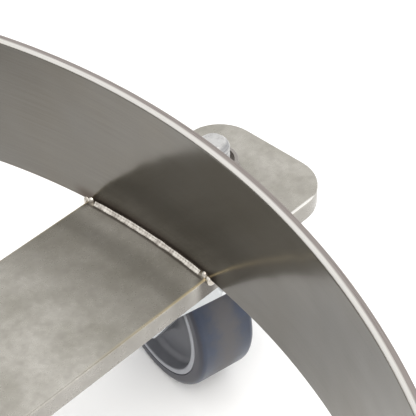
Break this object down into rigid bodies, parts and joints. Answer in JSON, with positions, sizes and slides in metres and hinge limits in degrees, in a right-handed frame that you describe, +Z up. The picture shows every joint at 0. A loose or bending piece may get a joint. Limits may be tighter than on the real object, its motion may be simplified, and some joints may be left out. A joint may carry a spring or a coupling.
{
  "type": "drum dolly",
  "caption": "Round open ring on a flat-bar cross with a swivel caster under each bar end, for rolling a 200 litre drum about.",
  "frame": {"origin": "on the floor, below the centre of the ring", "axes": "+Z up; +X along the one-piece bar, towards caster 1; the other casters at quarter turns"},
  "size_m": [0.754, 0.754, 0.1943],
  "materials": {
    "stainless_2b": "cold-rolled 2B, satin",
    "stainless_plate": "pickled hot-rolled plate, matt",
    "weld": "pickled TIG bead, bright",
    "zinc": "zinc plate, blue passivated",
    "bearing_steel": "ground, greased",
    "polyamide": "moulded grey",
    "polyurethane": "cast, blue grey, slightly translucent"
  },
  "bodies": {
    "frame": {"ring_band": "stainless_2b", "cross_bar_long": "stainless_plate", "cross_bar_half_a": "stainless_plate", "cross_bar_half_b": "stainless_plate", "ring_seam_weld": "weld", "centre_weld_a": "weld", "centre_weld_b": "weld", "ring_weld_1": "weld", "ring_weld_2": "weld", "ring_weld_3": "weld", "ring_weld_4": "weld", "kingpin_1": "zinc", "stud_washer_1": "stainless_plate", "lock_nut_1": "stainless_plate", "top_race_1": "zinc", "lower_race_1": "zinc", "kingpin_2": "zinc", "stud_washer_2": "stainless_plate", "lock_nut_2": "stainless_plate", "top_race_2": "zinc", "lower_race_2": "zinc", "kingpin_3": "zinc", "stud_washer_3": "stainless_plate", "lock_nut_3": "stainless_plate", "top_race_3": "zinc", "lower_race_3": "zinc", "kingpin_4": "zinc", "stud_washer_4": "stainless_plate", "lock_nut_4": "stainless_plate", "top_race_4": "zinc", "lower_race_4": "zinc"},
    "fork_1": {"fork_1": "zinc", "ball_ring_1": "bearing_steel", "axle_bolt_1": "zinc", "axle_nut_1": "zinc", "axle_sleeve_1": "zinc"},
    "wheel_1": {"wheel_hub_1": "polyamide", "wheel_tread_1": "polyurethane"},
    "fork_2": {"fork_2": "zinc", "ball_ring_2": "bearing_steel", "axle_bolt_2": "zinc", "axle_nut_2": "zinc", "axle_sleeve_2": "zinc"},
    "wheel_2": {"wheel_hub_2": "polyamide", "wheel_tread_2": "polyurethane"},
    "fork_3": {"fork_3": "zinc", "ball_ring_3": "bearing_steel", "axle_bolt_3": "zinc", "axle_nut_3": "zinc", "axle_sleeve_3": "zinc"},
    "wheel_3": {"wheel_hub_3": "polyamide", "wheel_tread_3": "polyurethane"},
    "fork_4": {"fork_4": "zinc", "ball_ring_4": "bearing_steel", "axle_bolt_4": "zinc", "axle_nut_4": "zinc", "axle_sleeve_4": "zinc"},
    "wheel_4": {"wheel_hub_4": "polyamide", "wheel_tread_4": "polyurethane"}
  },
  "joints": [
    {"name": "swivel_1", "type": "hinge", "parent": "frame", "child": "fork_1", "pos_m": [0.338, 0, 0.105], "axis": [0, 0, 1], "continuous": true},
    {"name": "roll_1", "type": "hinge", "parent": "fork_1", "child": "wheel_1", "pos_m": [0.34348, 0.02848, 0.04], "axis": [0.982, -0.1891, 0], "continuous": true},
    {"name": "swivel_2", "type": "hinge", "parent": "frame", "child": "fork_2", "pos_m": [0, 0.338, 0.105], "axis": [0, 0, 1], "continuous": true},
    {"name": "roll_2", "type": "hinge", "parent": "fork_2", "child": "wheel_2", "pos_m": [-0.02848, 0.34348, 0.04], "axis": [0.1891, 0.982, 0], "continuous": true},
    {"name": "swivel_3", "type": "hinge", "parent": "frame", "child": "fork_3", "pos_m": [-0.338, 0, 0.105], "axis": [0, 0, 1], "continuous": true},
    {"name": "roll_3", "type": "hinge", "parent": "fork_3", "child": "wheel_3", "pos_m": [-0.34348, -0.02848, 0.04], "axis": [-0.982, 0.1891, 0], "continuous": true},
    {"name": "swivel_4", "type": "hinge", "parent": "frame", "child": "fork_4", "pos_m": [0, -0.338, 0.105], "axis": [0, 0, 1], "continuous": true},
    {"name": "roll_4", "type": "hinge", "parent": "fork_4", "child": "wheel_4", "pos_m": [0.02848, -0.34348, 0.04], "axis": [-0.1891, -0.982, 0], "continuous": true}
  ]
}
